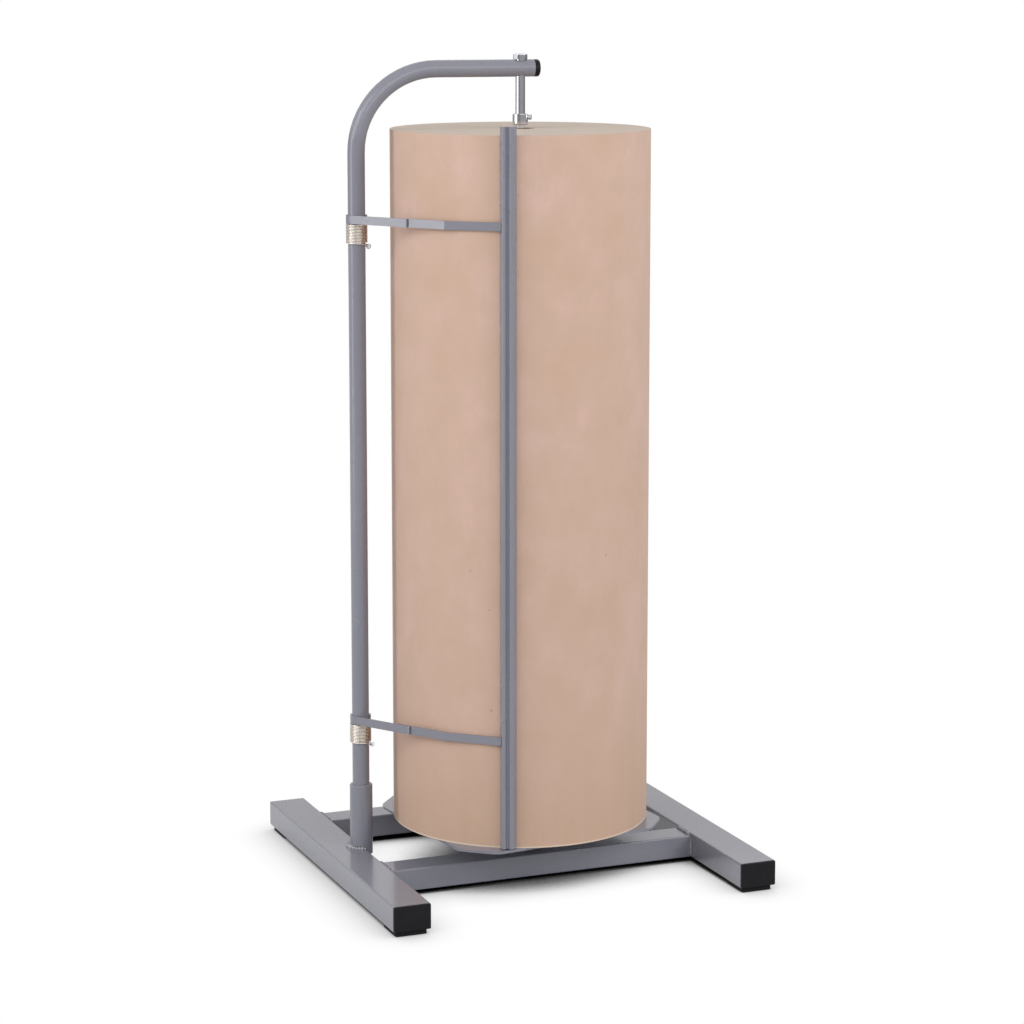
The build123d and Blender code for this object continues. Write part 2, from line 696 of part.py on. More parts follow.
# Turntable: hub on the bearing, plate on the hub, roll on the plate
with BuildPart() as turntable_hub:
    with BuildSketch(Plane.XY.offset(bearing_top)):
        with Locations((axis_x, axis_y)):
            Circle(hub_boss / 2)
    extrude(amount=hub_neck)
    with BuildSketch(Plane.XY.offset(plate_bottom)):
        with Locations((axis_x, axis_y)):
            Circle(hub_flange / 2)
    extrude(amount=-hub_flange_thickness)
    with BuildSketch(Plane.XY.offset(plate_bottom)):
        with Locations((axis_x, axis_y)):
            Circle(core_bore / 2 - spigot_gap)
    extrude(amount=spigot_top - plate_bottom)
    chamfer(turntable_hub.edges().group_by(Axis.Z)[-1], length=spigot_chamfer)
    with BuildSketch(Plane.XY.offset(bearing_top)):
        with Locations((axis_x, axis_y)):
            Circle(pin_diameter / 2 + pin_fit)
    extrude(amount=spigot_top - bearing_top, mode=Mode.SUBTRACT)
    with BuildSketch(Plane.XY.offset(plate_bottom)):
        with Locations(*screw_places):
            Circle(plate_screw_diameter / 2)
    extrude(amount=-hub_flange_thickness, mode=Mode.SUBTRACT)
turntable_hub.part.label = "turntable_hub"
export_step(turntable_hub.part, "parts/turntable_hub.step")

plate_sweep = post_reach - socket_outer / 2 - plate_gap
plate_half = (plate_clip + math.sqrt(2 * plate_sweep ** 2 - plate_clip ** 2)) / 2
plate_inner = plate_half - plate_clip
head_taper = (plate_screw_head - plate_screw_diameter) / 2
plate_corners = [
    (plate_half, -plate_inner),
    (plate_half, plate_inner),
    (plate_inner, plate_half),
    (-plate_inner, plate_half),
    (-plate_half, plate_inner),
    (-plate_half, -plate_inner),
    (-plate_inner, -plate_half),
    (plate_inner, -plate_half),
]
plate_turned = Plane(
    origin=(axis_x, axis_y, plate_bottom),
    x_dir=(math.cos(math.radians(plate_turn)), math.sin(math.radians(plate_turn)), 0),
    z_dir=(0, 0, 1),
)
with BuildPart() as turntable_plate:
    with BuildSketch(plate_turned):
        with BuildLine():
            Polyline(*plate_corners, close=True)
        make_face()
    extrude(amount=plate_thickness)
    fillet(turntable_plate.edges().filter_by(Axis.Z), radius=plate_round)
    with BuildSketch(Plane.XY.offset(plate_bottom)):
        with Locations((axis_x, axis_y)):
            Circle(core_bore / 2)
        with Locations(*screw_places):
            Circle(plate_screw_diameter / 2)
    extrude(amount=plate_thickness, mode=Mode.SUBTRACT)
    with BuildSketch(Plane.XY.offset(roll_bottom)):
        with Locations(*screw_places):
            Circle(plate_screw_head / 2 + plate_screw_sink)
    extrude(amount=-(head_taper + plate_screw_sink), taper=45, mode=Mode.SUBTRACT)
turntable_plate.part.label = "turntable_plate"
export_step(turntable_plate.part, "parts/turntable_plate.step")

with BuildPart() as plate_screws:
    with BuildSketch(Plane.XY.offset(roll_bottom - plate_screw_sink)):
        with Locations(*screw_places):
            Circle(plate_screw_head / 2)
    extrude(amount=-head_taper, taper=45)
    with BuildSketch(Plane.XY.offset(roll_bottom - plate_screw_sink)):
        with Locations(*screw_places):
            Circle(plate_screw_diameter / 2)
    extrude(amount=-screw_length)
    with BuildSketch(Plane.XY.offset(roll_bottom - plate_screw_sink)):
        with Locations(*screw_places):
            RegularPolygon(plate_screw_key / 2, 6, major_radius=False)
    extrude(amount=-plate_screw_key_depth, mode=Mode.SUBTRACT)
plate_screws.part.label = "plate_screws"
export_step(plate_screws.part, "parts/plate_screws.step")

with BuildPart() as roll_core:
    with BuildSketch(Plane.XY.offset(roll_bottom)):
        with Locations((axis_x, axis_y)):
            Circle(core_outer / 2)
            Circle(core_bore / 2, mode=Mode.SUBTRACT)
    extrude(amount=roll_height)
roll_core.part.label = "roll_core"
export_step(roll_core.part, "parts/roll_core.step")

with BuildPart() as paper_roll:
    with BuildSketch(Plane.XY.offset(roll_bottom)):
        with Locations((axis_x, axis_y)):
            Circle(roll_radius)
            Circle(core_outer / 2, mode=Mode.SUBTRACT)
    extrude(amount=roll_height)
paper_roll.part.label = "paper_roll"
export_step(paper_roll.part, "parts/paper_roll.step")

# Spindle that hangs by its head on the arm and reaches into the core
with BuildPart() as spindle_rod:
    with BuildSketch(Plane.XY.offset(rod_tip)):
        with Locations((axis_x, axis_y)):
            Circle(rod_diameter / 2)
    extrude(amount=head_bottom - rod_tip)
    chamfer(spindle_rod.edges().group_by(Axis.Z)[0], length=rod_tip_chamfer)
    with BuildSketch(Plane.XY.offset(head_bottom)):
        with Locations((axis_x, axis_y)):
            Circle(rod_thread / 2)
    extrude(amount=head_height - head_cover)
spindle_rod.part.label = "spindle_rod"
export_step(spindle_rod.part, "parts/spindle_rod.step")

with BuildPart() as spindle_head:
    with BuildSketch(Plane.XY.offset(head_bottom)):
        with Locations((axis_x, axis_y)):
            RegularPolygon(head_flats / 2, 6, major_radius=False, rotation=arm_angle)
    extrude(amount=head_height)
    with BuildSketch(Plane.XY.offset(head_bottom)):
        with Locations((axis_x, axis_y)):
            Circle(head_flats / 2 + head_corner)
    extrude(amount=head_height, mode=Mode.INTERSECT)
    fillet(spindle_head.edges().group_by(Axis.Z)[-1], radius=head_round)
    with BuildSketch(Plane.XY.offset(head_bottom)):
        with Locations((axis_x, axis_y)):
            Circle(rod_thread / 2)
    extrude(amount=head_height - head_cover, mode=Mode.SUBTRACT)
spindle_head.part.label = "spindle_head"
export_step(spindle_head.part, "parts/spindle_head.step")

with BuildPart() as spindle_collar:
    with BuildSketch(Plane.XY.offset(collar_bottom)):
        with Locations((axis_x, axis_y)):
            Circle(collar_outer / 2)
    extrude(amount=collar_height)
    chamfer(spindle_collar.edges().filter_by(GeomType.CIRCLE), length=collar_chamfer)
    with BuildSketch(Plane.XY.offset(collar_bottom)):
        with Locations((axis_x, axis_y)):
            Circle(rod_diameter / 2)
    extrude(amount=collar_height, mode=Mode.SUBTRACT)
    with BuildSketch(axis_plane(rod_diameter / 2, thumb_screw_angle, thumb_level)):
        Circle(thumb_screw_diameter / 2)
    extrude(amount=collar_outer, mode=Mode.SUBTRACT)
spindle_collar.part.label = "spindle_collar"
export_step(spindle_collar.part, "parts/spindle_collar.step")

with BuildPart() as collar_screw:
    with BuildSketch(axis_plane(rod_diameter / 2, thumb_screw_angle, thumb_level)):
        Circle(thumb_screw_diameter / 2)
    extrude(amount=collar_wall + thumb_head_gap)
    with BuildSketch(axis_plane(collar_outer / 2 + thumb_head_gap, thumb_screw_angle, thumb_level)):
        Circle(thumb_head / 2)
        with PolarLocations(thumb_head / 2 + thumb_grip_out, thumb_grip_count):
            Circle(thumb_grip, mode=Mode.SUBTRACT)
    extrude(amount=thumb_head_length)
collar_screw.part.label = "collar_screw"
export_step(collar_screw.part, "parts/collar_screw.step")

# Eye strips: wrapped round the post, then straight to the lap
eye_sweep = eye_leave_angle - eye_free_angle
eye_half_way = eye_free_angle + eye_sweep / 2
eye_free_outer = round_post(eye_outer, eye_free_angle)
eye_free_inner = round_post(eye_inner, eye_free_angle)
strip_end_outer = leave_outer + strip_along * eye_strip_run
strip_end_inner = leave_inner + strip_along * eye_strip_run
with BuildPart() as upper_arm:
    with BuildSketch(Plane.XY.offset(upper_arm_height - strip_height / 2)):
        with BuildLine():
            ThreePointArc(eye_free_outer, round_post(eye_outer, eye_half_way), leave_outer)
            Polyline(leave_outer, strip_end_outer, strip_end_inner, leave_inner)
            ThreePointArc(leave_inner, round_post(eye_inner, eye_half_way), eye_free_inner)
            Line(eye_free_inner, eye_free_outer)
        make_face()
    extrude(amount=strip_height)
upper_arm.part.label = "upper_arm"
export_step(upper_arm.part, "parts/upper_arm.step")

with BuildPart() as lower_arm:
    with BuildSketch(Plane.XY.offset(lower_arm_height - strip_height / 2)):
        with BuildLine():
            ThreePointArc(eye_free_outer, round_post(eye_outer, eye_half_way), leave_outer)
            Polyline(leave_outer, strip_end_outer, strip_end_inner, leave_inner)
            ThreePointArc(leave_inner, round_post(eye_inner, eye_half_way), eye_free_inner)
            Line(eye_free_inner, eye_free_outer)
        make_face()
    extrude(amount=strip_height)
lower_arm.part.label = "lower_arm"
export_step(lower_arm.part, "parts/lower_arm.step")

# Arm tips: lapped on the eye strips and bent to the bar's side
with BuildPart() as upper_arm_tip:
    with BuildSketch(Plane.XY.offset(upper_arm_height - strip_height / 2)):
        with BuildLine():
            Polyline(*tip_outline, close=True)
        make_face()
    extrude(amount=strip_height)
upper_arm_tip.part.label = "upper_arm_tip"
export_step(upper_arm_tip.part, "parts/upper_arm_tip.step")

with BuildPart() as lower_arm_tip:
    with BuildSketch(Plane.XY.offset(lower_arm_height - strip_height / 2)):
        with BuildLine():
            Polyline(*tip_outline, close=True)
        make_face()
    extrude(amount=strip_height)
lower_arm_tip.part.label = "lower_arm_tip"
export_step(lower_arm_tip.part, "parts/lower_arm_tip.step")

# Tear bar: folded sheet with two ridges, a valley between them and leaning sides down to the roll
slope_angle = math.atan2(valley_depth, ridge_inner - valley_half)
slope_shift = bar_sheet * math.tan(slope_angle / 2)
base_inside = bar_half - bar_sheet * math.hypot(1, bar_lean)
ridge_inside = base_inside - bar_lean * (bar_depth - bar_sheet)
bar_outside = [
    (-bar_half, 0),
    (-ridge_outer, bar_depth),
    (-ridge_inner, bar_depth),
    (-valley_half, bar_valley),
    (valley_half, bar_valley),
    (ridge_inner, bar_depth),
    (ridge_outer, bar_depth),
    (bar_half, 0),
]
bar_inside = [
    (-base_inside, 0),
    (-ridge_inside, bar_depth - bar_sheet),
    (-ridge_inner - slope_shift, bar_depth - bar_sheet),
    (-valley_half - slope_shift, bar_valley - bar_sheet),
    (valley_half + slope_shift, bar_valley - bar_sheet),
    (ridge_inner + slope_shift, bar_depth - bar_sheet),
    (ridge_inside, bar_depth - bar_sheet),
    (base_inside, 0),
]
outside_rounds = [ridge_round, ridge_inner_round, valley_round]
inside_rounds = [ridge_round - bar_sheet, ridge_inner_round - bar_sheet, valley_round + bar_sheet]
with BuildPart() as tear_bar:
    with BuildSketch(bar_plane):
        with BuildLine():
            FilletPolyline(*bar_outside, radius=outside_rounds + outside_rounds[::-1])
            Line(bar_outside[-1], bar_inside[-1])
            FilletPolyline(*bar_inside, radius=inside_rounds + inside_rounds[::-1])
            Line(bar_inside[0], bar_outside[0])
        make_face()
    extrude(amount=bar_top - bar_bottom)
tear_bar.part.label = "tear_bar"
export_step(tear_bar.part, "parts/tear_bar.step")

# Torsion springs, each one unbroken wire
with BuildPart() as upper_spring:
    with BuildLine() as upper_spring_line:
        spring_line(upper_anchor_top, upper_eye_bottom)
    with BuildSketch(Plane(origin=upper_spring_line.wire() @ 0, z_dir=(0, 0, 1))):
        Circle(spring_wire / 2)
    sweep(path=upper_spring_line.wire())
upper_spring.part.label = "upper_spring"
export_step(upper_spring.part, "parts/upper_spring.step")

with BuildPart() as lower_spring:
    with BuildLine() as lower_spring_line:
        spring_line(lower_anchor_top, lower_eye_bottom)
    with BuildSketch(Plane(origin=lower_spring_line.wire() @ 0, z_dir=(0, 0, 1))):
        Circle(spring_wire / 2)
    sweep(path=lower_spring_line.wire())
lower_spring.part.label = "lower_spring"
export_step(lower_spring.part, "parts/lower_spring.step")

# Anchor screws: a shoulder with a flat top under the spring's stub, and an upright ring
with BuildPart() as spring_anchor_screws:
    for level in (upper_anchor_top, lower_anchor_top):
        with BuildSketch(post_plane(anchor_seat, anchor_angle, level - anchor_height / 2)):
            Rectangle(anchor_width, anchor_height)
        extrude(amount=anchor_length)
        with BuildSketch(post_plane(anchor_seat, anchor_angle, level - anchor_height / 2)):
            Circle(anchor_thread / 2)
        extrude(amount=-(post_wall - anchor_seat_depth + anchor_thread_end))
        with BuildSketch(ring_plane(level - anchor_ring / 2)):
            Circle(anchor_ring / 2)
        extrude(amount=anchor_width / 2, both=True)
        with BuildSketch(ring_plane(level - anchor_ring / 2)):
            Circle(anchor_ring_bore / 2)
        extrude(amount=anchor_width, both=True, mode=Mode.SUBTRACT)
spring_anchor_screws.part.label = "spring_anchor_screws"
export_step(spring_anchor_screws.part, "parts/spring_anchor_screws.step")


# Least distance of a spring's wire to itself, from points along its centre line
def least_gap(line):
    length = line.length
    count = int(length / 1.0)
    points = [line.position_at(k / count) for k in range(count + 1)]
    least = length
    for first in range(count):
        for second in range(first + int(3 * spring_wire), count + 1):
            least = min(least, (points[first] - points[second]).length)
    return least - spring_wire


print("least gap of the upper spring", round(least_gap(upper_spring_line.wire()), 2))
print("least gap of the lower spring", round(least_gap(lower_spring_line.wire()), 2))
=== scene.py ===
import json
import math
import random

import bpy
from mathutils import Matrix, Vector


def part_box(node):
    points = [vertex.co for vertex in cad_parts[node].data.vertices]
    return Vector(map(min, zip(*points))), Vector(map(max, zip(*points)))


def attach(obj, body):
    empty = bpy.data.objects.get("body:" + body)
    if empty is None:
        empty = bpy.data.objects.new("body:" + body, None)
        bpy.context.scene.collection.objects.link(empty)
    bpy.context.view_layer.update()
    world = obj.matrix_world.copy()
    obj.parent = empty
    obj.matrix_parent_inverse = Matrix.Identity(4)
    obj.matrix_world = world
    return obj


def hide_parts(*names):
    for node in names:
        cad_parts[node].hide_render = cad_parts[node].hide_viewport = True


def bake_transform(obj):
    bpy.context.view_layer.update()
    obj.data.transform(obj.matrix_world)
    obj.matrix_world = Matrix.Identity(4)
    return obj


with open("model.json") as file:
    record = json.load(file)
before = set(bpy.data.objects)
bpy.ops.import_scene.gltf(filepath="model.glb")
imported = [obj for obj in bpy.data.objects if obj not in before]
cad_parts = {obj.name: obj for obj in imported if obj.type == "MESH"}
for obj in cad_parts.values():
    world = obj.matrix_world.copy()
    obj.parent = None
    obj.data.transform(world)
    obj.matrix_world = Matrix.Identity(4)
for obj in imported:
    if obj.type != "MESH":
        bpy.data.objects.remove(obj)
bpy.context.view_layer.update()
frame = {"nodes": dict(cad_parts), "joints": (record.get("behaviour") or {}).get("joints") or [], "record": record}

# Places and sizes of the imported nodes, in metres
joints = {joint["name"]: joint for joint in frame["joints"]}
ROLL_AXIS = Vector(joints["turntable_spin"]["pos_m"])
POST_AXIS = Vector(joints["swing_arm_hinge"]["pos_m"])
roll_low, roll_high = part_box("paper_roll")
ROLL_RADIUS = roll_high.x - ROLL_AXIS.x
RAIL_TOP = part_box("left_rail")[1].z
LEFT_INNER_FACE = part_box("left_rail")[1].x
RIGHT_INNER_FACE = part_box("right_rail")[0].x
SOCKET_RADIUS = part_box("post_socket")[1].x - POST_AXIS.x

# Spring wire, and the anchor ring that its leg is hooked through
WIRE = 0.0022
COIL_TURNS = 12.6
ANCHOR_ANGLE = math.radians(-22)
RING_PAST_COIL = 0.0012
RING_DROP = 0.0039

# Weld beads: radius, length of a step, how far a bead ends before an edge,
# and how far under the rail's top the beads on the socket's flanks start and end
SOCKET_BEAD = 0.0052
CROSS_BEAD = 0.0034
SIDE_SHARE = 0.6
BEAD_STEP = 0.0007
BEAD_END = 0.003
FLANK_DROPS = (0.0035, 0.0100)

# Beads of the arms: places from the boxes' corners, and the way that the arms' outer sides face
LAP_BEAD = 0.0017
LAP_PLACE = Vector((-0.0026, 0.0002, 0))
LAP_OVER = 0.0006
LAP_FLATNESS = 0.4
BAR_PLACE = Vector((-0.0020, -0.0004, 0))
ARM_FACING = Vector((math.cos(math.radians(208)), math.sin(math.radians(208)), 0))


# Material building


class Nodes:
    """A node tree, with short calls for the nodes used here."""

    def __init__(self, tree):
        self.tree = tree

    def add(self, kind, **values):
        node = self.tree.nodes.new(kind)
        for key, value in values.items():
            setattr(node, key, value)
        return node

    def link(self, source, target):
        self.tree.links.new(source, target)

    def feed(self, socket, value):
        if isinstance(value, bpy.types.NodeSocket):
            self.link(value, socket)
        else:
            socket.default_value = value

    def math(self, operation, first, second=0.0):
        node = self.add("ShaderNodeMath", operation=operation)
        self.feed(node.inputs[0], first)
        self.feed(node.inputs[1], second)
        return node.outputs[0]

    def spread(self, value, low, high, start=0.3, end=0.7, smooth=False):
        kind = "SMOOTHSTEP" if smooth else "LINEAR"
        node = self.add("ShaderNodeMapRange", interpolation_type=kind)
        self.feed(node.inputs["Value"], value)
        node.inputs["From Min"].default_value = start
        node.inputs["From Max"].default_value = end
        node.inputs["To Min"].default_value = low
        node.inputs["To Max"].default_value = high
        return node.outputs["Result"]

    def parts(self, vector):
        node = self.add("ShaderNodeSeparateXYZ")
        self.link(vector, node.inputs[0])
        return node.outputs["X"], node.outputs["Y"], node.outputs["Z"]

    def joined(self, x, y=0.0, z=0.0):
        node = self.add("ShaderNodeCombineXYZ")
        for socket, value in zip(node.inputs, (x, y, z)):
            self.feed(socket, value)
        return node.outputs["Vector"]


class Finish(Nodes):
    """A material's node tree, with its shader and the calls for textures."""

    def __init__(self, name):
        self.material = bpy.data.materials.new(name)
        self.material.use_nodes = True
        super().__init__(self.material.node_tree)
        self.shader = self.tree.nodes["Principled BSDF"]
        self.coordinates = self.add("ShaderNodeTexCoord").outputs["Object"]

    def noise(self, scale, vector=None, detail=3.0, roughness=0.55):
        node = self.add("ShaderNodeTexNoise")
        self.link(vector or self.coordinates, node.inputs["Vector"])
        node.inputs["Scale"].default_value = scale
        node.inputs["Detail"].default_value = detail
        node.inputs["Roughness"].default_value = roughness
        return node.outputs["Fac"]

    def stretch(self, scale, vector=None, turn=0.0):
        node = self.add("ShaderNodeMapping")
        self.link(vector or self.coordinates, node.inputs["Vector"])
        node.inputs["Rotation"].default_value = (0, 0, turn)
        node.inputs["Scale"].default_value = scale
        return node.outputs["Vector"]

    def mix(self, factor, first, second):
        node = self.add("ShaderNodeMix", data_type="RGBA")
        self.feed(node.inputs["Factor"], factor)
        for name, value in (("A", first), ("B", second)):
            socket = [s for s in node.inputs if s.name == name and s.type == "RGBA"][0]
            self.feed(socket, value if isinstance(value, bpy.types.NodeSocket) else (*value, 1.0))
        return [s for s in node.outputs if s.type == "RGBA"][0]

    def bump(self, height, strength, distance):
        node = self.add("ShaderNodeBump")
        node.inputs["Strength"].default_value = strength
        node.inputs["Distance"].default_value = distance
        self.link(height, node.inputs["Height"])
        return node.outputs["Normal"]

    def surface(self, **sockets):
        for name, value in sockets.items():
            self.feed(self.shader.inputs[name.replace("_", " ")], value)
        return self.material


def scaled(colour, factor):
    return tuple(min(1.0, c * factor) for c in colour)


def paint(name, colour, gloss=0.24, specular=0.40, coat=0.25):
    """Sprayed enamel: fine orange peel, pale flakes and short scuffs."""
    n = Finish(name)
    cloud = n.noise(6.0, detail=4.0)
    peel = n.noise(760.0, detail=2.0)
    flake = n.noise(2600.0, detail=1.0)
    scuff = n.noise(1.0, n.stretch((90.0, 90.0, 900.0)), detail=5.0, roughness=0.7)
    tone = n.mix(n.spread(cloud, 0.0, 1.0), scaled(colour, 0.96), scaled(colour, 1.04))
    tone = n.mix(n.spread(flake, 0.0, 0.3, 0.6, 0.8), tone, scaled(colour, 1.35))
    tone = n.mix(n.spread(scuff, 0.0, 0.35, 0.7, 0.82), tone, scaled(colour, 1.3))
    n.surface(Specular_IOR_Level=specular, Coat_Weight=coat, Coat_Roughness=0.06)
    n.surface(Normal=n.bump(peel, 0.05, 0.0002))
    return n.surface(Base_Color=tone, Roughness=n.spread(cloud, gloss - 0.03, gloss + 0.06))


def moulded(name, colour, roughness, grain):
    """Plastic or rubber with a fine grain."""
    n = Finish(name)
    fine = n.noise(grain, detail=2.0)
    cloud = n.noise(24.0, detail=3.0)
    tone = n.mix(n.spread(cloud, 0.0, 1.0), scaled(colour, 0.8), scaled(colour, 1.3))
    n.surface(Specular_IOR_Level=0.16, Normal=n.bump(fine, 0.2, 0.0003))
    return n.surface(Base_Color=tone, Roughness=n.spread(cloud, roughness - 0.06, roughness + 0.08))


def plated(name, colour, roughness, scratch=(700.0, 700.0, 40.0), relief=0.01):
    """Bright or zinc plating with fine lines along the piece."""
    n = Finish(name)
    fine = n.noise(1.0, n.stretch(scratch), detail=4.0)
    cloud = n.noise(60.0, detail=3.0)
    tone = n.mix(n.spread(cloud, 0.0, 1.0), scaled(colour, 0.93), scaled(colour, 1.04))
    n.surface(Metallic=1.0, Normal=n.bump(fine, relief, 0.0002))
    return n.surface(Base_Color=tone, Roughness=n.spread(fine, roughness * 0.75, roughness * 1.4))


def round_axis(n):
    """Distance from the roll's axis, and the place on the unrolled skin; its seam is at the back."""
    x, y, z = n.parts(n.coordinates)
    y = n.math("SUBTRACT", y, ROLL_AXIS.y)
    distance = n.math("SQRT", n.math("ADD", n.math("MULTIPLY", x, x), n.math("MULTIPLY", y, y)))
    turn = n.math("ARCTAN2", x, n.math("MULTIPLY", y, -1.0))
    return distance, n.joined(n.math("MULTIPLY", turn, ROLL_RADIUS), z, distance)


def kraft(name):
    """Kraft paper: clouded and specked on the skin, with fine rings of layers on the cut ends, and a painted
    highlight along the bottom edge of the skin.
    """
    n = Finish(name)
    sheet, stain, pink = (0.69, 0.48, 0.38), (0.585, 0.395, 0.275), (0.735, 0.51, 0.44)
    # The second colour here is a painted highlight, for the lit bottom edge of the roll.
    ends, painted_edge_highlight = (0.70, 0.565, 0.455), (0.86, 0.72, 0.58)
    distance, wrapped = round_axis(n)
    height = n.parts(n.coordinates)[2]
    cloud = n.noise(1.0, n.stretch((6.0, 4.5, 1.0), wrapped), detail=4.0, roughness=0.6)
    smudge = n.noise(1.0, n.stretch((22.0, 17.0, 1.0), wrapped), detail=5.0, roughness=0.62)
    blush = n.noise(1.0, n.stretch((11.0, 9.0, 4.0), wrapped), detail=4.0, roughness=0.6)
    streak = n.noise(1.0, n.stretch((75.0, 1.1, 1.0), wrapped))
    fibre = n.noise(1.0, n.stretch((160.0, 900.0, 60.0), wrapped))
    fleck = n.noise(1.0, n.stretch((420.0, 1600.0, 60.0), wrapped), detail=2.0)
    speck = n.noise(120.0, wrapped, detail=1.0)
    # Darker and browner towards the bottom of the roll, in clouds.
    bottom_darkening = n.spread(height, 1.0, 0.0, roll_low.z, roll_low.z + 0.26, smooth=True)
    side = n.mix(n.spread(cloud, 0.7, 0.0), sheet, stain)
    side = n.mix(n.spread(blush, 0.0, 0.95), side, pink)
    side = n.mix(n.spread(smudge, 0.6, 0.0), side, stain)
    side = n.mix(n.math("MULTIPLY", bottom_darkening, n.spread(cloud, 0.45, 0.9)), side, stain)
    side = n.mix(n.spread(streak, 0.0, 0.35), side, scaled(sheet, 0.94))
    side = n.mix(n.spread(fibre, 0.0, 0.4, 0.5, 0.75), side, scaled(sheet, 0.88))
    side = n.mix(n.spread(fleck, 0.0, 0.7, 0.66, 0.76), side, scaled(sheet, 0.66))
    side = n.mix(n.spread(speck, 0.0, 0.6, 0.82, 0.86), side, scaled(stain, 0.45))
    # Painted highlight: a thin pale band along the bottom of the skin, standing for its lit edge.
    painted_highlight_band = n.spread(height, 0.75, 0.0, roll_low.z + 0.0012, roll_low.z + 0.003)
    side = n.mix(painted_highlight_band, side, painted_edge_highlight)
    ring = n.joined(distance)
    layer = n.noise(1400.0, ring, roughness=0.7)
    broad = n.noise(70.0, ring, detail=2.0)
    top = n.mix(n.spread(layer, 0.0, 1.0), scaled(ends, 0.84), scaled(ends, 1.1))
    top = n.mix(n.spread(broad, 0.0, 0.55), top, scaled(ends, 0.88))
    normal = n.add("ShaderNodeNewGeometry").outputs["Normal"]
    flat = n.math("GREATER_THAN", n.math("ABSOLUTE", n.parts(normal)[2]), 0.7)
    relief = n.add("ShaderNodeMix", data_type="FLOAT")
    n.link(flat, relief.inputs["Factor"])
    n.link(fibre, relief.inputs[2])
    n.link(layer, relief.inputs[3])
    n.surface(Sheen_Weight=0.1, Sheen_Roughness=0.5, Specular_IOR_Level=0.25)
    n.surface(Normal=n.bump(relief.outputs[0], 0.2, 0.0004), Roughness=n.spread(smudge, 0.68, 0.84))
    return n.surface(Base_Color=n.mix(flat, side, top))


def board(name):
    """Spiral-wound core board."""
    n = Finish(name)
    colour = (0.42, 0.31, 0.21)
    wrapped = round_axis(n)[1]
    strip = n.noise(1.0, n.stretch((40.0, 900.0, 60.0), wrapped, math.radians(32)))
    speck = n.noise(900.0, detail=2.0)
    tone = n.mix(n.spread(strip, 0.0, 1.0), scaled(colour, 0.82), scaled(colour, 1.12))
    tone = n.mix(n.spread(speck, 0.0, 0.6, 0.6, 0.75), tone, scaled(colour, 0.6))
    n.surface(Normal=n.bump(strip, 0.2, 0.0004))
    return n.surface(Base_Color=tone, Roughness=n.spread(strip, 0.75, 0.92))


GREY = (0.238, 0.239, 0.283)
materials = {
    "grey_paint": paint("silver_grey_paint", GREY),
    "black_plastic": moulded("black_plastic", (0.008, 0.008, 0.0105), 0.36, 1500.0),
    "black_rubber": moulded("black_rubber", (0.010, 0.010, 0.011), 0.7, 900.0),
    "plated": plated("bright_plate", (0.79, 0.785, 0.84), 0.09),
    "steel": plated("zinc_plate", (0.46, 0.46, 0.48), 0.32, relief=0.04),
    "spring_steel": plated("pale_spring_wire", (0.66, 0.61, 0.55), 0.26, (500.0, 500.0, 500.0)),
    "kraft_paper": kraft("kraft_paper"),
    "core_board": board("core_board"),
}
dark_screw = moulded("blackened_screw", (0.014, 0.014, 0.016), 0.36, 1200.0)
weld_paint = paint("painted_weld", scaled(GREY, 0.9), gloss=0.12, specular=1.0, coat=1.0)

for entry in frame["record"]["subparts"]:
    node = frame["nodes"][entry["node"]]
    node.data.materials.clear()
    node.data.materials.append(materials[entry["material_slot"]])
frame["nodes"]["socket_lock_screw"].data.materials[0] = dark_screw


# Pieces made here


def tube(name, points, radii, sides, material):
    """Closed tube through points, with a radius at each one."""
    vertices, faces = [], []
    side = None
    for index, point in enumerate(points):
        before = points[max(0, index - 1)]
        after = points[min(len(points) - 1, index + 1)]
        along = (after - before).normalized()
        if side is None:
            guess = Vector((0, 0, 1)) if abs(along.z) < 0.9 else Vector((1, 0, 0))
            side = along.cross(guess).normalized()
        side = (side - along * side.dot(along)).normalized()
        other = along.cross(side)
        for step in range(sides):
            turn = 2 * math.pi * step / sides
            vertices.append(point + (side * math.cos(turn) + other * math.sin(turn)) * radii[index])
    for index in range(len(points) - 1):
        for step in range(sides):
            a = index * sides + step
            b = index * sides + (step + 1) % sides
            faces.append((a, b, b + sides, a + sides))
    faces.append(tuple(reversed(range(sides))))
    faces.append(tuple(range((len(points) - 1) * sides, len(points) * sides)))
    mesh = bpy.data.meshes.new(name)
    mesh.from_pydata(vertices, [], faces)
    mesh.update()
    for polygon in mesh.polygons:
        polygon.use_smooth = True
    mesh.materials.append(material)
    piece = bpy.data.objects.new(name, mesh)
    bpy.context.collection.objects.link(piece)
    return piece


def round_post(radius, angle, height):
    return Vector((POST_AXIS.x + radius * math.cos(angle), POST_AXIS.y + radius * math.sin(angle), height))


